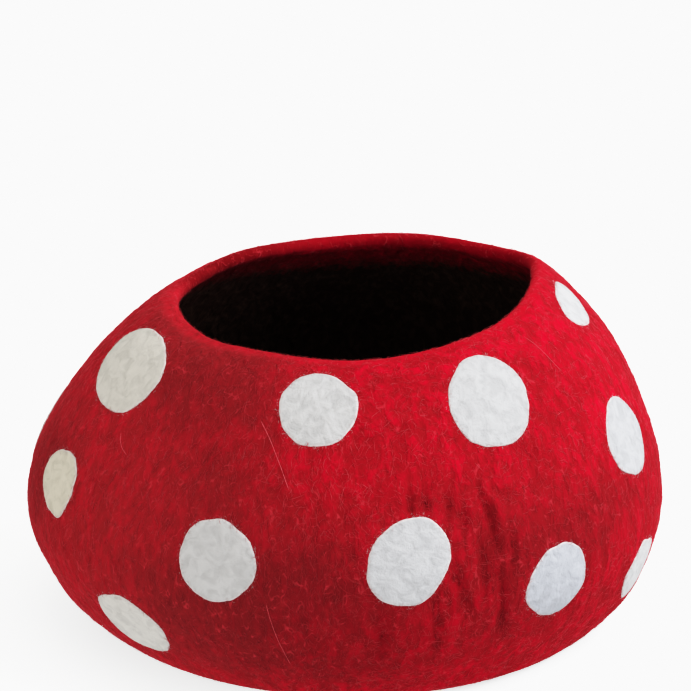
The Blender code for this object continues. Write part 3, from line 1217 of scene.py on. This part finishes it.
@dataclass
class LooseWool:
    """The fine wool strands that stand and lie on the felt, joined into a few pieces."""

    felt: FeltShell
    shell: bpy.types.Object
    discs: list[bpy.types.Object]
    strays: tuple[Stray, ...] = (
        Stray(248.5, 0.174, 258.0, 0.137, 4 * MM),
        Stray(254.3, 0.079, 258.0, 0.030, -2 * MM),
        Stray(321.5, 0.205, 326.0, 0.182, 2 * MM),
        Stray(214.0, 0.150, 218.5, 0.139, -2 * MM),
        Stray(60.0, 0.150, 68.0, 0.110, 3 * MM),
        Stray(120.0, 0.120, 131.0, 0.090, -4 * MM),
        Stray(165.0, 0.160, 171.0, 0.128, 3 * MM),
    )
    past_lip: Array = field(init=False)
    tree: BVHTree = field(init=False)
    points: Array = field(init=False)
    normals: Array = field(init=False)
    areas: Array = field(init=False)

    def __post_init__(self) -> None:
        """Read the finished shell's faces."""
        mesh = self.shell.data
        self.tree = tree_of(self.shell, *self.discs)
        self.points = read_values(mesh.polygons, "center", 3)
        self.normals = read_values(mesh.polygons, "normal", 3)
        self.areas = read_values(mesh.polygons, "area")
        lip = read_values(mesh.attributes["past_lip"].data, "value")
        self.past_lip = np.array([lip[face.vertices[0]] for face in mesh.polygons])

    def build(self) -> list[bpy.types.Object]:
        """Make every piece of loose strands.

        Returns:
            The finished pieces.
        """
        red = StrandWool("red_strands", (0.580, 0.010, 0.036, 1.0), (0.840, 0.190, 0.220, 1.0),
                         (0.280, 0.034, 0.038, 1.0))
        white = StrandWool("white_strands", (0.660, 0.480, 0.480, 1.0), (0.700, 0.680, 0.690, 1.0),
                           (0.600, 0.500, 0.500, 1.0))
        dark = StrandWool("dark_strands", (0.020, 0.011, 0.009, 1.0), (0.100, 0.055, 0.042, 1.0),
                          (0.020, 0.011, 0.009, 1.0))
        past, right, front = self.past_lip, self.points[:, 0] > 0.0, self.points[:, 1] < 0.02
        past_dots = np.min([dot.past_edge(self.points) for dot in self.felt.dots], axis=0)
        outside = (past < -3 * MM) & (self.points[:, 2] > 3 * MM) & (past_dots > 0.3 * MM)
        lip = (np.abs(past) < 6 * MM) & (front | (past < -3 * MM))
        edges = (np.abs(past_dots + 0.3 * MM) < 1.5 * MM) & (past < 0)
        tufts = [
            (Tuft("wool_left", red, Slot.RED, 14000, (4, 11), 0.17 * MM, (0.1, 0.7), 1, Lie.UPWARD),
             outside & ~right),
            (Tuft("wool_right", red, Slot.RED, 14000, (4, 12), 0.15 * MM, (0.1, 0.7), 2),
             outside & right),
            (Tuft("wool_lip", red, Slot.RED, 2400, (2, 6), 0.11 * MM, (0.3, 1.3), 3), lip),
            (Tuft("wool_inside", dark, Slot.DARK, 7000, (4, 11), 0.14 * MM, (0.3, 1.6), 4),
             past > 12 * MM),
            (Tuft("wool_dots", white, Slot.WHITE, 9000, (1.0, 2.6), 0.12 * MM, (0.05, 0.3), 5),
             edges),
        ]
        return [*(self.tuft(tuft, where) for tuft, where in tufts), self.long_fibres(red)]

    def long_fibres(self, finish: StrandWool) -> bpy.types.Object:
        """Lay the long single fibres on the outside.

        Args:
            finish: The finish that they wear.

        Returns:
            The fibres as one piece.
        """
        steps, paleness = 10, 0.95
        middle = self.felt.form.middle
        paths = np.array([stray.path(self.tree, middle, steps) for stray in self.strays])
        out = nearest(self.felt.form.tree, paths[:, steps // 2])[1]
        fibres = Tuft("wool_strays", finish, Slot.RED, len(paths), girth=0.28 * MM, follows=False)
        girths, pale = (np.full(len(paths), value) for value in (fibres.girth, paleness))
        return self.strands(fibres, paths, out, girths, pale)

    def tuft(self, tuft: Tuft, where: Array) -> bpy.types.Object:
        """Scatter one piece's strands over the faces that may carry them.

        Args:
            tuft: The piece's strands.
            where: True for each face of the shell that may carry one.

        Returns:
            The joined strands as one piece.
        """
        draw = np.random.default_rng(tuft.seed)
        areas = self.areas[where]
        chosen = draw.choice(np.flatnonzero(where), tuft.count, p=areas / areas.sum())
        roots, out = self.points[chosen], self.normals[chosen]
        level, upright = upright_frame(out)
        jitter = draw.uniform(-1.2 * MM, 1.2 * MM, (2, tuft.count, 1))
        roots = roots + level * jitter[0] + upright * jitter[1]
        lengths = draw.uniform(*(end * MM for end in tuft.length), tuft.count)
        lean = draw.uniform(0.0, math.pi, tuft.count)
        if tuft.lie is Lie.UPWARD:
            lean = math.pi / 2.0 + draw.normal(0.0, 0.55, tuft.count)
        bend = draw.normal(0.0, tuft.curl, tuft.count)
        rise = draw.uniform(*(end * MM for end in tuft.rise), tuft.count)
        paths = self.lay(roots + out * MM, level, upright, lengths, lean, bend, rise)
        pale = draw.beta(1.2, 3.0, tuft.count)
        return self.strands(tuft, paths, out, draw.uniform(0.7, 1.2, tuft.count) * tuft.girth, pale)

    def lay(self, roots: Array, level: Array, upright: Array, lengths: Array, lean: Array,
            bend: Array, rise: Array, steps: int = 4) -> Array:
        """Lead each strand over the felt in a gentle bow.

        Args:
            roots: Where the strands' middles lie.
            level: The direction round the wall at each.
            upright: The direction up the wall at each.
            lengths: Their lengths.
            lean: Which way each points, in radians from level.
            bend: How far each turns over its length, in radians.
            rise: How far each stands off the felt at its middle.
            steps: Points along a strand.

        Returns:
            The strands' points, as strands by steps by coordinates.
        """
        sink = 0.08 * MM
        paths = []
        for share in np.linspace(-0.5, 0.5, steps):
            heading = lean + bend * share / 2.0
            along = lengths * share
            flat = roots + level * (np.cos(heading) * along)[:, None]
            flat += upright * (np.sin(heading) * along)[:, None]
            surface, normal = nearest(self.tree, flat)
            lift = rise * (1.0 - (2.0 * share) ** 2) - sink
            paths.append(surface + normal * lift[:, None])
        return np.stack(paths, axis=1)

    def strands(self, tuft: Tuft, paths: Array, out: Array, girths: Array,
                pale: Array) -> bpy.types.Object:
        """Join strands into one mesh: three-sided and flattish, both ends drawn to a point.

        Args:
            tuft: The piece's name and looks.
            paths: The strands' points, as strands by steps by coordinates.
            out: The direction off the felt at each strand.
            girths: How wide each strand is.
            pale: How pale each strand is, from 0 to 1.

        Returns:
            The strands as one piece.
        """
        section = ((0.0, 0.36), (-0.5, -0.18), (0.5, -0.18))       # aside and over, in girths
        count, steps = paths.shape[:2]
        corners = [paths[:, :1]]
        for step in range(1, steps - 1):
            along = unit(paths[:, step + 1] - paths[:, step - 1])
            side = unit(np.cross(along, out))
            above = np.cross(side, along)
            ring = [paths[:, step] + (side * aside + above * over) * girths[:, None]
                    for aside, over in section]
            corners.append(np.stack(ring, axis=1))
        corners.append(paths[:, -1:])
        points = np.concatenate(corners, axis=1)
        each = points.shape[1]
        faces = [(0, 1 + k, 1 + (k + 1) % 3) for k in range(3)]
        for step in range(steps - 3):
            low, high = 1 + 3 * step, 4 + 3 * step
            for k in range(3):
                n = (k + 1) % 3
                faces += [(low + k, high + n, low + n), (low + k, high + k, high + n)]
        last = each - 1
        faces += [(last, last - 3 + (k + 1) % 3, last - 3 + k) for k in range(3)]
        joined = (np.array(faces)[None] + (np.arange(count) * each)[:, None, None]).reshape(-1, 3)
        piece = make_piece(tuft.name, points.reshape(-1, 3), joined.tolist(),
                           tuft.finish.material(), smooth=False)
        write_attribute(piece.data, "paleness", np.repeat(pale, each))
        tone_and_light = self.felt.tone_and_light(paths[:, steps // 2]) * tuft.follows
        write_attribute(piece.data, "tone_and_light", np.repeat(tone_and_light, each))
        return piece


# ------------------------------------------------------------------ the studio
@dataclass(frozen=True)
class Lamp:
    """A soft square light that faces the part."""

    name: str
    place: Triple
    size: float
    power: float
    tint: Triple = (1.0, 1.0, 1.0)
    aim: Triple = (0.0, 0.0, 0.1)

    def hang(self) -> None:
        """Hang the light."""
        data = bpy.data.lights.new(self.name, "AREA")
        data.shape, data.size, data.energy, data.color = "SQUARE", self.size, self.power, self.tint
        light = bpy.data.objects.new(self.name, data)
        light.location = self.place
        toward = Vector(self.aim) - Vector(self.place)
        light.rotation_euler = toward.to_track_quat("-Z", "Y").to_euler()
        bpy.context.scene.collection.objects.link(light)


@dataclass
class Studio:
    """A pale floor, soft light that comes mostly from the right, and the camera."""

    aim: Vector = field(default_factory=lambda: Vector((0.0004, -0.0037, 0.172)))
    distance: float = 2.0
    elevation: float = 18.0
    lens: float = 166.8
    floor_radius: float = 12.0
    floor_glow: float = 0.58           # the sweep is lit from below, as a light table is
    room: float = 0.40                 # how bright the room is over the lights' level
    lamps: tuple[Lamp, ...] = (
        Lamp("key", (1.8, -0.3, 1.6), 1.4, 33.0),
        Lamp("top", (-0.2, -0.5, 2.3), 1.8, 7.0),
        Lamp("lamp", (-2.0, -1.2, 0.7), 1.4, 6.0, (1.0, 0.86, 0.66)),
    )
    film: tuple[tuple[float, float], ...] = (
        (0.0, 0.0), (0.05, 0.038), (0.12, 0.135), (0.25, 0.360), (0.40, 0.570), (0.60, 0.780),
        (0.80, 0.900), (1.0, 0.956))

    def build(self) -> None:
        """Lay the floor, hang the lights and set the camera up."""
        self.floor()
        for lamp in self.lamps:
            lamp.hang()
        self.walls()
        self.tones()
        self.camera()

    def floor(self) -> None:
        """A pale floor that fills the view."""
        bpy.ops.object.select_all(action="DESELECT")
        bpy.ops.mesh.primitive_circle_add(vertices=96, radius=self.floor_radius, fill_type="NGON")
        floor = bpy.context.object
        floor.name = "floor"
        sheet = NodeSheet("pale_floor")
        faint = sheet.noise(sheet.place, 0.4, detail=2.0)
        colour = sheet.blend(faint, (0.82, 0.82, 0.82, 1.0), (0.84, 0.84, 0.84, 1.0))
        sheet.fill(sheet.shader, {
            "Base Color": colour, "Roughness": 0.9, "Specular IOR Level": 0.1,
            "Emission Color": WHITE, "Emission Strength": self.floor_glow})
        sheet.material.cycles.emission_sampling = "NONE"
        floor.data.materials.append(sheet.material)

    def walls(self) -> None:
        """White walls, which fade to a dimmer ceiling and to a dark screen at the left."""
        world = bpy.data.worlds.new("studio")
        world.use_nodes = True
        nodes = NodeTree(world.node_tree)
        heading = nodes.add("ShaderNodeTexCoord", {}).outputs["Generated"]
        rise = nodes.ease(nodes.part(heading, "Z"), 0.12, 0.45, 0.86, self.room)
        screen = nodes.ease(nodes.part(heading, "X"), -0.98, -0.50, 0.35, 1.0)
        background = {"Strength": nodes.times(rise, screen), "Color": WHITE}
        nodes.fill(nodes.tree.nodes["Background"], background)
        scene = bpy.context.scene
        scene.world = world
        scene.cycles.diffuse_bounces = 0

    def tones(self) -> None:
        """The photograph's contrast, with soft whites and deep shade."""
        view = bpy.context.scene.view_settings
        view.view_transform = "Standard"
        view.use_curve_mapping = True
        curve = view.curve_mapping.curves[3]
        curve.points[0].location, curve.points[1].location = self.film[0], self.film[-1]
        for point in self.film[1:-1]:
            curve.points.new(*point)
        view.curve_mapping.extend = "HORIZONTAL"
        view.curve_mapping.update()

    def camera(self) -> None:
        """Set the camera where the photograph was taken from."""
        data = bpy.data.cameras.new("camera")
        data.lens = self.lens
        camera = bpy.data.objects.new("camera", data)
        tilt = math.radians(self.elevation)
        camera.location = self.aim + Vector((0.0, -math.cos(tilt), math.sin(tilt))) * self.distance
        camera.rotation_euler = (math.pi / 2.0 - tilt, 0.0, 0.0)
        bpy.context.scene.collection.objects.link(camera)
        bpy.context.scene.camera = camera


def main() -> None:
    """Build the studio and the part's pieces in order."""
    logging.basicConfig(level=logging.INFO, format="%(name)s: %(message)s")
    Studio().build()
    form = SmoothForm()
    names = sorted(name for name in frame["nodes"] if name.startswith("dot_"))
    places = [DotPlace.read(name, form) for name in names]
    felt = FeltShell(form, places)
    shell = felt.build()
    LOG.info("%s: %d faces", shell.name, len(shell.data.polygons))
    dots = FeltDots(form, places, shell).build()
    LOG.info("%d felt dots of %d faces each", len(dots), len(dots[0].data.polygons))
    for piece in LooseWool(felt, shell, dots).build():
        LOG.info("%s: %d faces", piece.name, len(piece.data.polygons))


if __name__ == "__main__":
    main()
